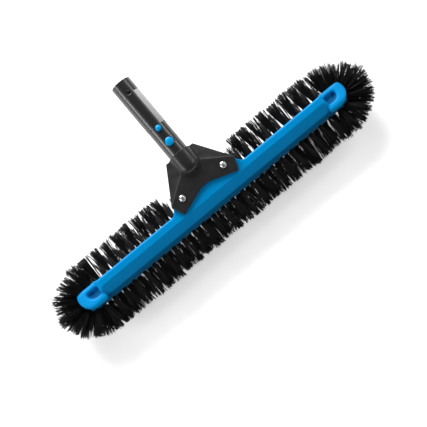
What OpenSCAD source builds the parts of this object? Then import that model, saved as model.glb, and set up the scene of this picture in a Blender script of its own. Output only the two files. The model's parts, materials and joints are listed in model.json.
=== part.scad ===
// Pool wall brush: a bar-shaped block with bristle tufts all round, clamped in a yoke
// that carries a tubular handle stub with a two-button snap clip for a telescopic pole.
// Frame: X along the block, +Y towards the handle, +Z away from the bristles.
// The origin is the middle of the plane that the bristle tips rest on.

/* [Block] */
// Overall length of the block
block_l = 436; // [380:1:480]
// Radius of the half-round rear of the bar
bar_r = 14; // [13:0.5:16]
// Half width of the rounded ends
end_half_w = 15; // [14.5:0.1:16]
// Height of the flat rim at the ends, above the block's centre
rim_z = 6.6; // [5:0.2:8]
// Sideways place of the line on the sloping face that the handle is measured from
datum_y = -1.9; // [-4:0.1:0]
// Height of that line, above the block's centre
datum_z = 12.5; // [11:0.1:14]
// Length of the raised spine at its foot
spine_l = 375; // [340:1:400]
// How far the spine's end walls lean inwards
spine_lean = 7; // [2:0.5:10]
// Distance up the sloping face from that line to the ridge
ridge_u = 2; // [0:0.5:3]
// Width of the sloping face, from that line to its outer edge
face_w = 11; // [9:0.5:13]
// Slope of the face on the far side of the ridge
back_slope = 51; // [48:1:58]

/* [End recesses] */
// Half width of the recess
recess_half_w = 6.2; // [5:0.1:8]
// Length of the recess along the block
recess_l = 17.4; // [14:0.1:20]
// Depth of the recess below the rim
recess_depth = 6; // [4:0.5:6]

/* [Fin] */
// Width of the fin where it leaves the block
fin_w = 120; // [110:1:130]
// Thickness of the fin
fin_t = 4.5; // [4:0.1:6]
// Distance from the measuring line to the fin's top edge
fin_top = 32; // [29:0.5:33]
// Width of the fin's top edge
fin_top_w = 84; // [70:1:86]

/* [Tufts] */
// Distance from the fan centre to the bristle tips
reach = 50.5; // [42:0.5:60]
// Spacing of the tufts along each row
ring_pitch = 16.25; // [15:0.25:18]
// Radius of a tuft hole in the bar
hole_r = 2.6; // [2.2:0.1:2.6]
// Radius of a tuft hole in the round ends
end_hole_r = 2.1; // [1.6:0.1:2.1]
// Radius of a tuft of the bar at its tips
tip_r = 7.3; // [4:0.1:8]
// Radius of a tuft of the round ends at its tips
end_tip_r = 7.9; // [5:0.1:7.9]
// Half width of the gap in the first row, behind the yoke
row_gap = 54; // [50:1:62]

/* [Yoke] */
// Thickness of each of the yoke's two plates
plate_t = 4; // [3:0.5:5]
// Width across the yoke's outer corners
yoke_w = 103; // [96:1:106]
// Width across the yoke's shoulders
shoulder_w = 43.5; // [38:0.5:46]
// Distance between the two screws
screw_span = 66.6; // [60:0.2:72]
// Distance from the measuring line to the screws
screw_u = 22.4; // [20:0.2:24]
// Radius of the collar around the handle tube
collar_r = 16.5; // [16:0.1:18]
// Tilt of the handle above the base plane
handle_tilt = 14; // [8:1:20]

/* [Handle tube] */
// Radius of the stretch that slides into a pole
spigot_r = 14.15; // [14:0.05:14.3]
// Radius of the tube's bore
bore_r = 11; // [10.5:0.1:11.5]
// Distance from the measuring line to the tube's open end
tube_end = 188; // [180:1:200]
// Radius of the cross hole near the open end
cross_r = 3.4; // [3:0.1:4]

/* [Snap clip] */
// Radius of the locking pins
pin_r = 3.9; // [3:0.1:4]
// Radius of the release buttons
button_r = 5.6; // [5:0.1:6]
// How far the locking pins stand out of the tube
pin_out = 3.2; // [2.5:0.1:3.3]
// How far the release buttons stand out of the tube
button_out = 2.5; // [1.5:0.1:3]

/* [Hidden] */
$fn = 48;
blue = [0.0, 0.53, 0.78];
bright_blue = [0.05, 0.6, 0.9];
black = [0.13, 0.13, 0.14];
bristle_black = [0.07, 0.07, 0.07];
grey = [0.6, 0.6, 0.6];
steel = [0.75, 0.76, 0.78];

// Tufts: the rows fan out round the rear, from +Y past -Z to -Y. The fan is square to the
// handle's plane, so it has the same tilt. Two of the rows are shifted by half a pitch.
fan_z = -4;
row_angles = [for (i = [0:5]) i * 36 - handle_tilt];
row_shifted = [false, true, false, false, true, false];
plain_x = [for (i = [-11:11]) i * ring_pitch];
shifted_x = [for (i = [-12:11]) (i + 0.5) * ring_pitch];
hole_floor = 10;
anchor_h = 1.6;
anchor_t = 0.5;
// Where the tufts of the bar and of the end fans start to flare, clear of their holes.
bar_flare = 17.4;
end_flare = 21;
tuft_gap = 0.05;
// Tiers of each end fan: how far each points down, and the turns of its tufts about Z.
tier_down = [0, 30, 58];
tier_turns = [[-90:30:90], [-75:30:75], [-55:55:55]];
fan_x = block_l / 2 - bar_r;
// The end fans' sideways tufts start nearer to the middle by this much.
fan_shift = 9.5;
// The lowest tip rim fixes the height of the block's centre above the base plane.
centre_z = max([for (a = row_angles) reach * sin(a) + tip_r * abs(cos(a))]) - fan_z;

// Block outline details: the ends are rounder on the side away from the handle.
blunt_r = 20;
sharp_r = 9.6;
end_y = 0.9;
corner_lap = 0.2;
rim_round = 4.5;
neck_x = spine_l / 2 - 3.5;
belly_x = spine_l / 2 + 2.5;
recess_x = spine_l / 2 - 0.8;
recess_y = 1.8;
recess_blunt_r = 9;
recess_sharp_r = 3;
foot_y = 13.2;
foot_z = 7;

// The yoke and handle lie in a plane tilted about the measuring line: u runs along the
// handle, w stands off the sloping face.
axis_w = -fin_t / 2;
web_low = -fin_t - plate_t;
slot_gap = 0.05;
fin_foot = 8;
fin_knee = 14;
cove_r = 17.5;
cove_out = 6.8;
cove_u = 26.7;
corner_u = 22;
tip_u = 4.7;
tip_half = 44.3;
arch_top = 17.8;
arch_flank = 19.4;
tip_flat = 1.2;
arch_r = 38;
rear_edge_u = 15.5;
slot_top = fin_top + 0.5;
shoulder_u = 70;
facet_foot = [14, 48];
facet_tilt = 13;
facet_step = 1.2;
collar_low = 39;
collar_round = 11;
socket_floor = 46;

// Handle tube.
cross_u = tube_end - 18.2;
pin_u = tube_end - 78.4;
button_u = tube_end - 100.3;
hole_slack = 0.7;
strip_from = 19.9;
strip_to = 74.2;
step_u = tube_end - strip_to;
root_r = spigot_r - 0.4;
strip_t = 0.6;
strip_start = 27;
strip_sweep = 58;

// Snap clip.
arm_w = 9;
arm_t = 2.5;
arm_out = 9.2;
arm_tip_u = button_u - 6.5;
hinge_u = tube_end - 34;
hinge_gap = 0.3;
dome_h = 1.4;
wing_w = 4;
wing_l = 3;

// Fasteners.
screw_r = 2.5;
screw_hole_r = 2.75;
head_r = 4.3;
head_h = 3;
slot_w = 1.1;
slot_depth = 1.6;
nut_r = 4.6;
nut_h = 5;
screw_past = 1.5;

// ---- Places ----

module at_centre() translate([0, 0, centre_z]) children();

// Into the tilted plane of the fin, yoke and handle: X, u, w.
module on_fin() at_centre() translate([0, datum_y, datum_z]) rotate([handle_tilt, 0, 0]) children();

// Along the handle's axis from distance u: local Z runs towards the open end.
module along_tube(u) on_fin() translate([0, u, axis_w]) rotate([-90, 0, 0]) children();

// Across the handle's axis at distance u: local Z is the side that the buttons are on.
module across_tube(u) on_fin() translate([0, u, axis_w]) children();

// One tuft's axis in an end fan: local Z points from the fan centre to the tips.
module tuft_axis(x, turn, down) {
    translate([x, 0, fan_z]) rotate([handle_tilt, 0, 0]) rotate([0, 90 + down, turn]) children();
}

// Every place of one row of the bar.
module along_row(row) {
    for (x = row_shifted[row] ? shifted_x : plain_x)
        if (row > 0 || abs(x) > row_gap) tuft_axis_in_row(x, row_angles[row]) children();
}

module tuft_axis_in_row(x, angle) translate([x, 0, fan_z]) rotate([-90 - angle, 0, 0]) children();

// Every place of one tier of an end fan; side is 1 at the right end and -1 at the left.
module along_tier(tier, side) {
    for (turn = tier_turns[tier]) {
        x = fan_x - fan_shift * pow(sin(turn), 2);
        tuft_axis(side * x, side > 0 ? turn : 180 - turn, tier_down[tier]) children();
    }
}

// ---- Block ----

// Section of the bar: half-round below, with a sloping face on each side of the ridge.
module bar_section() {
    difference() {
        union() {
            translate([0, fan_z]) circle(r = bar_r, $fn = 96);
            spine_section();
        }
        translate([datum_y, datum_z]) rotate(handle_tilt) translate([ridge_u, 0])
            rotate(back_slope - handle_tilt) translate([-3 * bar_r, 0]) square([6 * bar_r, 2 * bar_r]);
    }
}

module spine_section() {
    up = tan(handle_tilt);
    polygon([[-bar_r / 2, fan_z], [-bar_r / 2, datum_z - (bar_r / 2 + datum_y) * up],
        [datum_y + face_w * cos(handle_tilt), datum_z + face_w * sin(handle_tilt)],
        [foot_y, foot_z], [bar_r - 0.6, fan_z]]);
}

// A profile in Y and Z, drawn along X over the length l.
module along_x(l) rotate([90, 0, 90]) translate([0, 0, -l / 2]) linear_extrude(l) children();

module bar() {
    intersection() {
        along_x(spine_l) bar_section();
        rotate([90, 0, 0]) linear_extrude(bar_r * 4, center = true) spine_side();
    }
}

// The spine seen from the side: full length up to the rim, then leaning in.
module spine_side() {
    half = spine_l / 2;
    top = datum_z + face_w * sin(handle_tilt) + 1;
    low = fan_z - bar_r - 1;
    polygon([[-half, low], [half, low], [half, rim_z - 1],
        [half - spine_lean, top], [spine_lean - half, top], [-half, rim_z - 1]]);
}

// The plan of the ends, which are a little wider than the bar.
module end_plan() {
    polygon([[neck_x, -bar_r], [belly_x, -end_half_w], [belly_x + 1, -end_half_w],
        [belly_x + 1, end_half_w], [belly_x, end_half_w], [neck_x, bar_r]]);
    rounded_end(belly_x, block_l / 2, end_half_w, blunt_r, sharp_r);
}

// A plan from from_x to to_x with two rounded corners at to_x, blunt on the -Y side.
module rounded_end(from_x, to_x, half_w, blunt, sharp) {
    blunt_at = [to_x - blunt, blunt - half_w];
    sharp_at = [to_x - sharp, half_w - sharp];
    polygon([[from_x, -half_w], [blunt_at[0], -half_w], blunt_at, [to_x, blunt_at[1]],
        [to_x, sharp_at[1]], sharp_at, [sharp_at[0], half_w], [from_x, half_w]]);
    translate(blunt_at) mirror([0, 1]) plan_corner(blunt);
    translate(sharp_at) plan_corner(sharp);
}

// A quarter disc that laps a little into the plan next to it.
module plan_corner(r) {
    intersection() {
        circle(r = r, $fn = 96);
        translate([-corner_lap, -corner_lap]) square(2 * r);
    }
}

// Section of the ends: half-round below, rounded rims above.
module end_section() {
    edge = end_half_w - rim_round;
    translate([0, fan_z]) circle(r = end_half_w, $fn = 96);
    translate([-end_half_w, fan_z]) square([2 * end_half_w, rim_z - rim_round - fan_z]);
    translate([-edge, fan_z]) square([2 * edge, rim_z - fan_z]);
    for (s = [-1, 1]) translate([s * edge, rim_z - rim_round]) circle(r = rim_round);
}

// The ends seen from the side: a deep round below and the rim's small round above.
module end_side() {
    half = block_l / 2;
    translate([fan_x, fan_z]) circle(r = bar_r, $fn = 96);
    translate([neck_x, fan_z - bar_r]) square([fan_x - neck_x, bar_r]);
    translate([neck_x, fan_z]) square([half - neck_x, rim_z - rim_round - fan_z]);
    translate([neck_x, fan_z]) square([half - rim_round - neck_x, rim_z - fan_z]);
    translate([half - rim_round, rim_z - rim_round]) circle(r = rim_round);
}

module block_end() {
    deep = end_half_w + fan_z + 20;
    translate([0, end_y, 0]) intersection() {
        translate([0, 0, -2 * deep]) linear_extrude(4 * deep) end_plan();
        along_x(block_l + 2) intersection() {
            end_section();
            translate([-deep, rim_z - 2 * deep]) square(2 * deep);
        }
        rotate([90, 0, 0]) linear_extrude(4 * deep, center = true) end_side();
    }
}

// The blind D-shaped recess: straight towards the spine, rounded towards the end.
module end_recess() {
    translate([0, recess_y, rim_z - recess_depth]) linear_extrude(recess_depth + 20)
        rounded_end(recess_x, recess_x + recess_l, recess_half_w, recess_blunt_r, recess_sharp_r);
}

module fin() {
    translate([0, 0, -fin_t]) linear_extrude(fin_t) difference() {
        polygon([[-fin_w / 2, fin_foot], [fin_w / 2, fin_foot], [fin_w / 2, fin_knee],
            [fin_top_w / 2, fin_top], [-fin_top_w / 2, fin_top], [-fin_w / 2, fin_knee]]);
        for (s = [-1, 1]) translate([s * (fin_w / 2 + cove_out), cove_u]) circle(r = cove_r);
    }
}

// A blind hole of radius r, whose tuft starts to flare at flare_start from the fan centre.
module tuft_hole(r, flare_start) {
    translate([0, 0, hole_floor]) cylinder(r = r, h = flare_start - hole_floor + 1, $fn = 24);
}

module brush_body() {
    color(blue) difference() {
        union() {
            at_centre() bar();
            for (s = [0, 1]) at_centre() mirror([s, 0, 0]) block_end();
            on_fin() fin();
        }
        for (s = [0, 1]) at_centre() mirror([s, 0, 0]) end_recess();
        for (row = [0:len(row_angles) - 1]) at_centre() along_row(row) tuft_hole(hole_r, bar_flare);
        for (tier = [0:len(tier_down) - 1], side = [-1, 1])
            at_centre() along_tier(tier, side) tuft_hole(end_hole_r, end_flare);
        screw_places() translate([0, 0, -fin_t - 1]) cylinder(r = screw_hole_r, h = fin_t + 2);
    }
}

// ---- Tufts and anchors ----

// A tuft: a straight root in its hole of radius r, then a flare out to radius flare_r.
module tuft(r, flare_r, flare_start) {
    low = hole_floor + anchor_h;
    bundle_r = r - tuft_gap;
    translate([0, 0, low]) cylinder(r = bundle_r, h = flare_start - low, $fn = 24);
    translate([0, 0, flare_start]) cylinder(r1 = bundle_r, r2 = flare_r, h = reach - flare_start, $fn = 24);
}

// The flat wire that pins a tuft to the bottom of its hole of radius r.
module anchor(r) {
    w = 2 * (r - 4 * tuft_gap);
    translate([-w / 2, -anchor_t / 2, hole_floor]) cube([w, anchor_t, anchor_h]);
}

module tufts_row(row) color(bristle_black) at_centre() along_row(row) tuft(hole_r, tip_r, bar_flare);
module tufts_tier(tier, side) {
    color(bristle_black) at_centre() along_tier(tier, side) tuft(end_hole_r, end_tip_r, end_flare);
}
module anchors_row(row) color(steel) at_centre() along_row(row) anchor(hole_r);

module anchors_end(side) {
    color(steel) for (tier = [0:len(tier_down) - 1]) at_centre() along_tier(tier, side) anchor(end_hole_r);
}

// ---- Yoke ----

module at_screw(side) on_fin() translate([side * screw_span / 2, screw_u, 0]) children();
module screw_places() for (s = [-1, 1]) at_screw(s) children();

module yoke_outline() {
    difference() {
        polygon([[-shoulder_w / 2, shoulder_u], [shoulder_w / 2, shoulder_u], [yoke_w / 2, corner_u],
            [tip_half, tip_u], [-tip_half, tip_u], [-yoke_w / 2, corner_u]]);
        arch();
    }
}

// The gap between the yoke's tips: straight flanks up to a round crown.
module arch() {
    slope = tan(arch_flank);
    foot = tip_half - tip_flat;
    lap_x = arch_r * sin(arch_flank);
    lap_u = tip_u + (foot - lap_x) * slope;
    translate([0, arch_top - arch_r]) circle(r = arch_r, $fn = 180);
    polygon([[-foot - 1 / slope, tip_u - 1], [foot + 1 / slope, tip_u - 1], [lap_x, lap_u], [-lap_x, lap_u]]);
}

// Cuts the sloping facet between the front pad and the yoke's long edge.
module yoke_facet() {
    along = facet_foot - [yoke_w / 2, corner_u];
    translate([yoke_w / 2, corner_u, plate_t - facet_step]) rotate([0, 0, atan2(along[1], along[0])])
        rotate([facet_tilt, 0, 0]) translate([-yoke_w, -yoke_w, 0]) cube([3 * yoke_w, yoke_w, 4 * plate_t]);
}

module collar() {
    low = collar_low + collar_round;
    along_tube(0) rotate_extrude($fn = 96) {
        translate([0, low]) square([collar_r, shoulder_u - low]);
        translate([0, collar_low]) square([collar_r - collar_round, shoulder_u - collar_low]);
        intersection() {
            translate([collar_r - collar_round, low]) circle(r = collar_round, $fn = 96);
            square([collar_r + 1, shoulder_u]);
        }
    }
}

module yoke_bracket() {
    color(black) difference() {
        union() {
            on_fin() difference() {
                translate([0, 0, web_low]) linear_extrude(plate_t - web_low) yoke_outline();
                for (s = [0, 1]) mirror([s, 0, 0]) yoke_facet();
            }
            collar();
        }
        on_fin() translate([-yoke_w, 0, -fin_t - slot_gap]) cube([2 * yoke_w, slot_top, fin_t + slot_gap]);
        on_fin() translate([-yoke_w, 0, web_low - 1]) cube([2 * yoke_w, rear_edge_u, 1 - web_low]);
        along_tube(socket_floor) cylinder(r = root_r + slot_gap, h = shoulder_u, $fn = 96);
        screw_places() translate([0, 0, web_low - 1]) cylinder(r = screw_hole_r, h = plate_t - web_low + 2);
    }
}

// ---- Handle ----

// The strip's own space: a thin arc of the wall on one side of the tube.
module strip_arc(t) {
    along_tube(tube_end - strip_to) rotate([0, 0, strip_start - 90])
        rotate_extrude(angle = strip_sweep, $fn = 96)
        translate([spigot_r - strip_t, 0]) square([t, strip_to - strip_from]);
}

module both_walls(u, r) across_tube(u) cylinder(r = r, h = 3 * spigot_r, center = true);

module handle_tube() {
    color(black) difference() {
        union() {
            along_tube(socket_floor) cylinder(r = root_r, h = step_u - socket_floor + 1, $fn = 96);
            along_tube(step_u) cylinder(r = spigot_r, h = tube_end - step_u, $fn = 96);
        }
        along_tube(socket_floor - 1) cylinder(r = bore_r, h = tube_end - socket_floor + 2, $fn = 96);
        both_walls(cross_u, cross_r);
        both_walls(pin_u, pin_r + hole_slack);
        both_walls(button_u, button_r + hole_slack);
        strip_arc(strip_t + 1);
    }
}

module handle_strip() color(grey) strip_arc(strip_t);

// ---- Snap clip ----

// A round stub with a domed top, from the arm up to the height top.
module domed_stub(r, top) {
    dome_r = (r * r + dome_h * dome_h) / (2 * dome_h);
    low = arm_out - arm_t;
    intersection() {
        translate([0, 0, low]) cylinder(r = r, h = top - low);
        translate([0, 0, top - dome_r]) sphere(r = dome_r, $fn = 64);
    }
    translate([0, 0, low]) cylinder(r = r, h = top - low - dome_h);
}

module latch_arm() {
    inner = arm_out - arm_t;
    arm_l = hinge_u - hinge_gap - arm_tip_u;
    translate([-arm_w / 2, arm_tip_u, inner]) cube([arm_w, arm_l, arm_t]);
    translate([0, pin_u, 0]) domed_stub(pin_r, spigot_r + pin_out);
    translate([0, button_u, 0]) domed_stub(button_r, spigot_r + button_out);
}

module front_latch_arm() color(bright_blue) across_tube(0) latch_arm();
module rear_latch_arm() color(bright_blue) across_tube(0) mirror([0, 0, 1]) latch_arm();

// The spring bend that joins the arms, with two wings that locate it in the bore.
module clip_bend() {
    inner = arm_out - arm_t;
    color(bright_blue) union() {
        across_tube(hinge_u) intersection() {
            rotate([0, 90, 0]) difference() {
                cylinder(r = arm_out, h = arm_w, center = true);
                cylinder(r = inner, h = arm_w + 2, center = true);
            }
            translate([-arm_w, 0, -2 * arm_out]) cube([2 * arm_w, 2 * arm_out, 4 * arm_out]);
        }
        intersection() {
            across_tube(hinge_u + arm_out - wing_l) translate([-bore_r, 0, -wing_w / 2])
                cube([2 * bore_r, wing_l - 0.4, wing_w]);
            along_tube(hinge_u) cylinder(r = bore_r - slot_gap, h = 2 * arm_out, $fn = 96);
        }
    }
}

// ---- Fasteners ----

module pan_head_screw() {
    dome_r = (head_r * head_r + head_h * head_h) / (2 * head_h) + 1;
    difference() {
        union() {
            intersection() {
                translate([0, 0, plate_t]) cylinder(r = head_r, h = head_h);
                translate([0, 0, plate_t + head_h - dome_r]) sphere(r = dome_r, $fn = 64);
            }
            translate([0, 0, web_low - nut_h - screw_past])
                cylinder(r = screw_r, h = plate_t - web_low + nut_h + screw_past + 1);
        }
        for (turn = [0, 90]) rotate([0, 0, turn])
            translate([0, 0, plate_t + head_h]) cube([2 * screw_r, slot_w, 2 * slot_depth], center = true);
    }
}

module hex_nut() {
    translate([0, 0, web_low - nut_h]) difference() {
        cylinder(r = nut_r, h = nut_h, $fn = 6);
        translate([0, 0, -1]) cylinder(r = screw_r + slot_gap, h = nut_h + 2);
    }
}

module screw(side) color(steel) at_screw(side) pan_head_screw();
module nut(side) color(steel) at_screw(side) hex_nut();

brush_body();
tufts_row(0);  // tufts_row_1
tufts_row(1);  // tufts_row_2
tufts_row(2);  // tufts_row_3
tufts_row(3);  // tufts_row_4
tufts_row(4);  // tufts_row_5
tufts_row(5);  // tufts_row_6
tufts_tier(0, -1);  // tufts_left_rim
tufts_tier(1, -1);  // tufts_left_slope
tufts_tier(2, -1);  // tufts_left_under
tufts_tier(0, 1);  // tufts_right_rim
tufts_tier(1, 1);  // tufts_right_slope
tufts_tier(2, 1);  // tufts_right_under
anchors_row(0);  // anchors_row_1
anchors_row(1);  // anchors_row_2
anchors_row(2);  // anchors_row_3
anchors_row(3);  // anchors_row_4
anchors_row(4);  // anchors_row_5
anchors_row(5);  // anchors_row_6
anchors_end(-1);  // anchors_left_end
anchors_end(1);  // anchors_right_end
yoke_bracket();
handle_tube();
handle_strip();
screw(-1);  // screw_left
screw(1);  // screw_right
nut(-1);  // nut_left
nut(1);  // nut_right
clip_bend();
front_latch_arm();
rear_latch_arm();
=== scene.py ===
"""Looks for the pool wall brush: real filaments, softened mouldings, studio floor and lights."""

import json
import math

import bpy
import numpy as np
from mathutils import Matrix, Vector

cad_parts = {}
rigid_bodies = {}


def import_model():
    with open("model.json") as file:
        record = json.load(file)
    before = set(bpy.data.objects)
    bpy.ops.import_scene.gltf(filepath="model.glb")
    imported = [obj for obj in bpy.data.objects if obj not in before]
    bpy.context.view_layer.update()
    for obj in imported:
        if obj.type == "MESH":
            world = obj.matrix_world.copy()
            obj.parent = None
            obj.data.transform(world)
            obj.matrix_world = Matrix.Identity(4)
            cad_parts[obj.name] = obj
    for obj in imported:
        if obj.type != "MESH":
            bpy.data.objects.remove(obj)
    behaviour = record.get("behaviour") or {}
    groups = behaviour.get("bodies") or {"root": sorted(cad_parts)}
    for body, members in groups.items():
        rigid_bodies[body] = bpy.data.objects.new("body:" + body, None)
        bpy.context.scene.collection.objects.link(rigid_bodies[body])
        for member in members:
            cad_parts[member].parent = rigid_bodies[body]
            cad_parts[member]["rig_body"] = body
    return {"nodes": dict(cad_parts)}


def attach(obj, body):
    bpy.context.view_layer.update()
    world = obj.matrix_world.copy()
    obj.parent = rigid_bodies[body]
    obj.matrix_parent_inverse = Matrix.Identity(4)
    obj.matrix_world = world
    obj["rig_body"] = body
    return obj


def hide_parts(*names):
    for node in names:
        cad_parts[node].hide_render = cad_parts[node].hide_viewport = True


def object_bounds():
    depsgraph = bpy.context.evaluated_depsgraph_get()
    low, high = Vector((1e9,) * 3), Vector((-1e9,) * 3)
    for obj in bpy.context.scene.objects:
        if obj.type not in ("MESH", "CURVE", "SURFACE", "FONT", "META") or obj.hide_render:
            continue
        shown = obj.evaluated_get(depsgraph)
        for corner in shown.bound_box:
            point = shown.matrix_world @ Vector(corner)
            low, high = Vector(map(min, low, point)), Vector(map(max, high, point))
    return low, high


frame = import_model()
cad_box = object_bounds()

MM = 0.001
NODES = frame["nodes"]
# Corners closer together than this count as one.
WELD = 0.001 * MM


# ---- Camera ----

AIM = Vector((-12.0, 4.8, 0.0)) * MM
TOWARD_CAMERA = Vector((-0.05, -0.344, 0.937)).normalized()
CAMERA_UP = Vector((0.636, 0.702, 0.320))
CAMERA_DISTANCE = 1.35
LENS_MM = 86


def add_camera():
    """Looks down on the block from in front, rolled so that the block climbs to the right."""
    data = bpy.data.cameras.new("camera")
    data.lens = LENS_MM
    data.sensor_width = 36
    data.clip_end = 50
    right = CAMERA_UP.cross(TOWARD_CAMERA).normalized()
    basis = Matrix((right, TOWARD_CAMERA.cross(right), TOWARD_CAMERA)).transposed().to_4x4()
    camera = bpy.data.objects.new("camera", data)
    camera.matrix_world = Matrix.Translation(AIM + TOWARD_CAMERA * CAMERA_DISTANCE) @ basis
    bpy.context.scene.collection.objects.link(camera)
    bpy.context.scene.camera = camera


# ---- Node helpers for materials ----

class Shader:
    """A principled material with short calls for its texture nodes."""

    def __init__(self, name, colour, roughness, **sockets):
        self.material = bpy.data.materials.new(name)
        self.material.use_nodes = True
        self.tree = self.material.node_tree
        self.bsdf = self.tree.nodes["Principled BSDF"]
        self.bsdf.inputs["Base Color"].default_value = (*colour, 1)
        self.bsdf.inputs["Roughness"].default_value = roughness
        for socket, value in sockets.items():
            self.bsdf.inputs[socket.replace("_", " ")].default_value = value
        self.where = self.add("ShaderNodeTexCoord").outputs["Object"]

    def add(self, kind, **values):
        node = self.tree.nodes.new(kind)
        for key, value in values.items():
            setattr(node, key, value)
        return node

    def link(self, source, target):
        self.tree.links.new(source, target)

    def stretched(self, scale):
        mapping = self.add("ShaderNodeMapping")
        mapping.inputs["Scale"].default_value = scale
        self.link(self.where, mapping.inputs["Vector"])
        return mapping.outputs["Vector"]

    def noise(self, scale, detail, along=None):
        node = self.add("ShaderNodeTexNoise")
        node.inputs["Scale"].default_value = scale
        node.inputs["Detail"].default_value = detail
        self.link(along or self.where, node.inputs["Vector"])
        return node.outputs["Fac"]

    def spread(self, value, low, high, to_low, to_high):
        """Maps the range from low to high onto the range from to_low to to_high."""
        node = self.add("ShaderNodeMapRange")
        numbers = {"From Min": low, "From Max": high, "To Min": to_low, "To Max": to_high}
        for socket, number in numbers.items():
            node.inputs[socket].default_value = number
        self.link(value, node.inputs["Value"])
        return node.outputs["Result"]

    def tint(self, value, colours):
        """Runs the base colour between two or more colours as value goes from 0 to 1."""
        ramp = self.add("ShaderNodeValToRGB")
        elements = ramp.color_ramp.elements
        while len(elements) < len(colours):
            elements.new(0.5)
        for i, colour in enumerate(colours):
            elements[i].position = i / (len(colours) - 1)
            elements[i].color = (*colour, 1)
        self.link(value, ramp.inputs["Fac"])
        self.link(ramp.outputs["Color"], self.bsdf.inputs["Base Color"])

    def paint_shade_below(self, low, high, darkest):
        """Paints shade into the base colour downwards: full at height high, times darkest at height
        low.
        """
        place = self.add("ShaderNodeSeparateXYZ")
        self.link(self.where, place.inputs["Vector"])
        socket = self.bsdf.inputs["Base Color"]
        mix = self.add("ShaderNodeVectorMath", operation="SCALE")
        self.link(socket.links[0].from_socket, mix.inputs[0])
        self.link(self.spread(place.outputs["Z"], low, high, darkest, 1.0), mix.inputs["Scale"])
        self.link(mix.outputs["Vector"], socket)

    def rough(self, value, low, high):
        """Roughness from low to high, over the range where most noise values lie."""
        self.link(self.spread(value, 0.3, 0.7, low, high), self.bsdf.inputs["Roughness"])

    def bump(self, value, height):
        """Stacks one bump on any bump that is already there; height is in metres."""
        node = self.add("ShaderNodeBump")
        node.inputs["Strength"].default_value = 1.0
        node.inputs["Distance"].default_value = height
        self.link(value, node.inputs["Height"])
        normal = self.bsdf.inputs["Normal"]
        if normal.is_linked:
            self.link(normal.links[0].from_socket, node.inputs["Normal"])
        self.link(node.outputs["Normal"], normal)


# ---- Materials ----

# Painted shade: the block's colour darkens downwards between these heights, standing in for the shade
# in its end recesses and low on its flanks. The floors of its end recesses are at 55.5 mm.
PAINTED_SHADE_LOW = 55.1 * MM
PAINTED_SHADE_HIGH = 57.0 * MM


def block_plastic():
    shader = Shader("block_plastic", (0.0, 0.27, 0.64), 0.4, Specular_IOR_Level=0.08)
    shader.tint(shader.noise(28, 4), [(0.0, 0.245, 0.59), (0.0, 0.295, 0.69)])
    # Painted shade: darkens the end recesses and the lowest part of the block.
    shader.paint_shade_below(PAINTED_SHADE_LOW, PAINTED_SHADE_HIGH, 0.4)
    shader.rough(shader.noise(60, 5), 0.30, 0.44)
    shader.bump(shader.noise(900, 3), 0.02 * MM)
    shader.bump(shader.noise(35, 2), 0.12 * MM)
    return shader.material


def bristle_nylon():
    shader = Shader("bristle_nylon", (0.004, 0.004, 0.0045), 0.5, Specular_IOR_Level=0.2)
    streak = shader.noise(500, 2)
    shader.tint(streak, [(0.001, 0.001, 0.0011), (0.008, 0.008, 0.009)])
    shader.rough(streak, 0.42, 0.6)
    return shader.material


def yoke_plastic():
    colour = (0.014, 0.014, 0.015)
    shader = Shader("yoke_plastic", colour, 0.42, Specular_IOR_Level=0.45)
    shader.tint(shader.noise(45, 4), [colour, tuple(1.35 * c for c in colour)])
    shader.rough(shader.noise(120, 4), 0.28, 0.42)
    shader.bump(shader.noise(700, 2), 0.05 * MM)
    return shader.material


def tube_plastic():
    shader = Shader("tube_plastic", (0.006, 0.006, 0.0065), 0.24, Specular_IOR_Level=1.0)
    lines = shader.noise(14, 3, shader.stretched((60, 2, 60)))
    shader.tint(lines, [(0.005, 0.005, 0.0054), (0.008, 0.008, 0.0086)])
    shader.rough(lines, 0.3, 0.34)
    shader.bump(shader.noise(1500, 2), 0.003 * MM)
    return shader.material


def strip_plastic():
    shader = Shader("strip_plastic", (0.45, 0.45, 0.45), 0.45)
    shader.tint(shader.noise(160, 4), [(0.40, 0.40, 0.40), (0.50, 0.50, 0.50)])
    shader.rough(shader.noise(200, 3), 0.4, 0.55)
    shader.bump(shader.noise(1800, 2), 0.03 * MM)
    return shader.material


def clip_plastic():
    shader = Shader("clip_plastic", (0.0, 0.34, 0.74), 0.26, Specular_IOR_Level=0.2)
    shader.tint(shader.noise(90, 3), [(0.0, 0.31, 0.69), (0.0, 0.37, 0.79)])
    shader.rough(shader.noise(150, 3), 0.2, 0.34)
    shader.bump(shader.noise(1200, 2), 0.015 * MM)
    return shader.material


def steel(name, colour, roughness):
    shader = Shader(name, colour, roughness, Metallic=1.0)
    lines = shader.noise(120, 4, shader.stretched((30, 3, 3)))
    shader.tint(lines, [tuple(0.82 * c for c in colour), colour])
    shader.rough(lines, roughness - 0.07, roughness + 0.1)
    shader.bump(lines, 0.02 * MM)
    return shader.material


def floor_paper():
    """White paper that glows a little, like a light table, so that the shadows stay pale."""
    glow = {"Emission_Color": (1, 1, 1, 1), "Emission_Strength": 0.45}
    shader = Shader("floor_paper", (0.9, 0.9, 0.9), 0.6, **glow)
    shader.tint(shader.noise(8, 3), [(0.88, 0.88, 0.88), (0.92, 0.92, 0.92)])
    shader.bump(shader.noise(700, 3), 0.02 * MM)
    return shader.material


# ---- Mesh helpers ----

def new_object(name, mesh):
    piece = bpy.data.objects.new(name, mesh)
    bpy.context.scene.collection.objects.link(piece)
    return piece


def baked(piece):
    """Replaces a piece's mesh with what its modifiers make of it."""
    bpy.context.view_layer.update()
    result = piece.evaluated_get(bpy.context.evaluated_depsgraph_get())
    mesh = bpy.data.meshes.new_from_object(result)
    piece.modifiers.clear()
    piece.data = mesh


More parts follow.
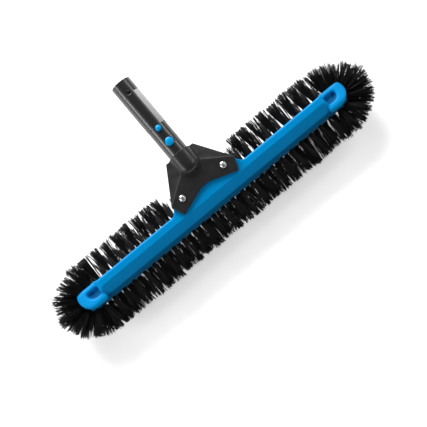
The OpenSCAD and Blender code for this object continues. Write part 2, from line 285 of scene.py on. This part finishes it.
def softened(node, name, voxel, rounds, material):
    """A moulded copy of a CAD node: remeshed finely, then smoothed so that its edges are rounded."""
    piece = new_object(name, NODES[node].data.copy())
    piece.data.materials.clear()
    weld = piece.modifiers.new("weld", "WELD")
    weld.merge_threshold = WELD
    remesh = piece.modifiers.new("remesh", "REMESH")
    remesh.mode = "VOXEL"
    remesh.voxel_size = voxel
    smooth = piece.modifiers.new("smooth", "SMOOTH")
    smooth.factor = 0.5
    smooth.iterations = rounds
    baked(piece)
    piece.data.shade_smooth()
    piece.data.materials.append(material)
    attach(piece, NODES[node]["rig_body"])
    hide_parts(node)
    return piece


def round_ends(piece, from_x, rounds):
    """Smooths a piece further where it is more than from_x to either side of its middle."""
    points = np.empty(len(piece.data.vertices) * 3)
    piece.data.vertices.foreach_get("co", points)
    ends = np.flatnonzero(np.abs(points[::3]) > from_x)
    piece.vertex_groups.new(name="ends").add(ends.tolist(), 1.0, "REPLACE")
    smooth = piece.modifiers.new("round_ends", "SMOOTH")
    smooth.vertex_group = "ends"
    smooth.factor = 0.5
    smooth.iterations = rounds


def finished(node, material, edge):
    """Keeps a CAD node's own shape, with a fine bevel on its sharp edges."""
    piece = NODES[node]
    piece.data.materials.clear()
    piece.data.materials.append(material)
    weld = piece.modifiers.new("weld", "WELD")
    weld.merge_threshold = WELD
    bevel = piece.modifiers.new("bevel", "BEVEL")
    bevel.width = edge
    bevel.segments = 3
    bevel.angle_limit = math.radians(35)
    bevel.harden_normals = True


# ---- Bristles ----

FILAMENT_R = 0.27 * MM
# A filament is thinner at its tip by this share.
TIP_THINNING = 0.35
# Spread of how far a whole tuft leans to one side at its tips.
TUFT_LEAN = 0.8 * MM
# Each filament has this many rings of this many corners.
RINGS = 5
SIDES = 3
# Per kind of tuft: strands, filaments in each, radius at the tips, mean shortening of a strand,
# sideways wave and how far a strand's own filaments part at their tips.
BAR_TUFT = (40, 6, 8.0 * MM, 1.6 * MM, 0.9 * MM, 0.4 * MM)
END_TUFT = (52, 6, 13.5 * MM, 2.2 * MM, 1.5 * MM, 0.6 * MM)


def separate_solids(node):
    """The corner points of each separate solid in a CAD node."""
    mesh = NODES[node].data
    points = np.empty(len(mesh.vertices) * 3)
    mesh.vertices.foreach_get("co", points)
    points, same = np.unique(np.round(points.reshape(-1, 3), 7), axis=0, return_inverse=True)
    leader = list(range(len(points)))

    def find(i):
        while leader[i] != i:
            leader[i] = leader[leader[i]]
            i = leader[i]
        return i

    for edge in mesh.edges:
        a, b = (int(same[v]) for v in edge.vertices)
        leader[find(a)] = find(b)
    group = np.array([find(i) for i in range(len(points))])
    return [points[group == g] for g in np.unique(group)]


def tuft_axis(points):
    """A cone-shaped tuft's root, its direction, its length and its radius at the root."""
    middle = points.mean(0)
    direction = np.linalg.svd(points - middle)[2][0]
    along = (points - middle) @ direction
    away = np.linalg.norm(points - middle - along[:, None] * direction, axis=1)
    low_r = away[along < along.min() + 0.1 * MM].max()
    high_r = away[along > along.max() - 0.1 * MM].max()
    if low_r > high_r:
        direction, along, low_r, high_r = -direction, -along, high_r, low_r
    return middle + direction * along.min(), direction, np.ptp(along), low_r


def filament_paths(tufts, kind, rng):
    """The middle line of every filament, as RINGS points each, and two directions across it."""
    strands, each, tip_r, shorter, wave, fray = kind
    total = len(tufts) * strands

    def per_strand(values):
        return np.repeat(values, each, axis=0)

    root, direction, length, root_r = (
        np.repeat(np.array(values), strands * each, axis=0) for values in zip(*tufts))
    n = len(root)
    # Any direction does here, as long as no tuft points along it.
    side = np.cross(direction, [0.31, 0.17, 0.93])
    side /= np.linalg.norm(side, axis=1, keepdims=True)
    other = np.cross(direction, side)
    turn = per_strand(rng.uniform(0, 2 * np.pi, total))
    out = per_strand(np.sqrt(rng.uniform(0, 1, total)))
    radial = side * np.cos(turn)[:, None] + other * np.sin(turn)[:, None]
    length = length - per_strand(rng.gamma(1.3, shorter, total)) - rng.gamma(1.5, 0.25 * shorter, n)
    flare = tip_r * out
    bend = per_strand(rng.normal(0, wave, (total, 3)))
    apart = rng.normal(0, fray, (n, 3))
    lean = np.repeat(rng.normal(0, TUFT_LEAN, (len(tufts), 3)), strands * each, axis=0)
    path = []
    for t in np.linspace(0, 1, RINGS):
        spread = root_r * out * (1 - t) + flare * t ** 1.1
        centre = root + direction * (length * t)[:, None] + radial * spread[:, None]
        path.append(centre + bend * math.sin(0.8 * math.pi * t) + (apart + lean) * t)
    low, high = (np.array(corner) for corner in cad_box)
    return np.clip(np.array(path), low + FILAMENT_R, high - FILAMENT_R), side, other


def filament_mesh(name, path, side, other):
    """Closed three-sided filaments along the paths, a little thinner at the tips."""
    n = path.shape[1]
    corners = []
    for t, ring in zip(np.linspace(0, 1, RINGS), path):
        thick = FILAMENT_R * (1 - TIP_THINNING * t)
        for k in range(SIDES):
            a = 2 * math.pi * k / SIDES
            corners.append(ring + thick * (side * math.cos(a) + other * math.sin(a)))
    per = RINGS * SIDES
    corners = np.array(corners).transpose(1, 0, 2).reshape(-1, 3)
    quads = []
    for ring in range(RINGS - 1):
        low, high = ring * SIDES, (ring + 1) * SIDES
        for k in range(SIDES):
            after = (k + 1) % SIDES
            quads.append((low + k, low + after, high + after, high + k))
    first = np.arange(n) * per
    quads = (first[:, None, None] + np.array(quads)[None]).reshape(-1, 4)
    caps = np.concatenate([first[:, None] + [2, 1, 0], first[:, None] + [per - 3, per - 2, per - 1]])
    mesh = bpy.data.meshes.new(name)
    mesh.from_pydata(corners.tolist(), [], quads.tolist() + caps.tolist())
    mesh.shade_smooth()
    return mesh


def bristles(node, material, seed):
    """Stands real filaments in for the cone-shaped tufts of a CAD node."""
    kind = BAR_TUFT if "row" in node else END_TUFT
    tufts = [tuft_axis(points) for points in separate_solids(node)]
    path, side, other = filament_paths(tufts, kind, np.random.default_rng(seed))
    piece = new_object(node.replace("tufts", "filaments"), filament_mesh(node, path, side, other))
    piece.data.materials.append(material)
    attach(piece, NODES[node]["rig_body"])
    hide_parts(node)


# ---- Floor and lights ----

def add_floor(material):
    """A square floor just below the bristle tips."""
    half = 4.0
    level = cad_box[0][2] - 0.1 * MM
    corners = [(-half, -half, level), (half, -half, level), (half, half, level), (-half, half, level)]
    mesh = bpy.data.meshes.new("floor")
    mesh.from_pydata(corners, [], [(0, 1, 2, 3)])
    mesh.materials.append(material)
    new_object("floor", mesh)


def add_softbox(name, place, size, watts):
    """A rectangular light that faces the origin; place and size are in metres."""
    data = bpy.data.lights.new(name, "AREA")
    data.shape = "RECTANGLE"
    data.size, data.size_y = size
    data.energy = watts
    light = bpy.data.objects.new(name, data)
    light.location = place
    light.rotation_mode = "QUATERNION"
    light.rotation_quaternion = (-Vector(place)).to_track_quat("-Z", "Y")
    bpy.context.scene.collection.objects.link(light)


def add_lights():
    world = bpy.data.worlds.new("studio")
    world.use_nodes = True
    background = world.node_tree.nodes["Background"]
    background.inputs["Color"].default_value = (1, 1, 1, 1)
    background.inputs["Strength"].default_value = 0.12
    bpy.context.scene.world = world
    add_softbox("key", (0.2, 2.15, 1.45), (2.0, 2.0), 112)
    add_softbox("left_strip", (-1.55, -0.1, 0.8), (1.6, 0.3), 14)
    add_softbox("right_strip", (1.5, -0.2, 1.15), (1.6, 0.3), 10)
    bpy.context.scene.view_settings.view_transform = "Standard"


# ---- Assembly ----

# Beyond this distance from its middle the block is rounded further.
ROUND_FROM = 189 * MM


def main():
    add_camera()
    add_lights()
    add_floor(floor_paper())

    block = softened("brush_body", "block", 0.7 * MM, 6, block_plastic())
    round_ends(block, ROUND_FROM, 36)
    softened("yoke_bracket", "yoke", 0.5 * MM, 6, yoke_plastic())
    softened("handle_tube", "tube", 0.35 * MM, 4, tube_plastic())
    finished("handle_strip", strip_plastic(), 0.15 * MM)
    clip = clip_plastic()
    for node in ("clip_bend", "front_latch_arm", "rear_latch_arm"):
        finished(node, clip, 0.3 * MM)
    screw_steel = steel("screw_steel", (0.72, 0.73, 0.75), 0.28)
    for node in ("screw_left", "screw_right", "nut_left", "nut_right"):
        finished(node, screw_steel, 0.25 * MM)
    wire = steel("anchor_steel", (0.6, 0.61, 0.63), 0.35)
    nylon = bristle_nylon()
    for seed, node in enumerate(sorted(NODES)):
        if node.startswith("anchors"):
            finished(node, wire, 0.05 * MM)
        if node.startswith("tufts"):
            bristles(node, nylon, seed)


main()
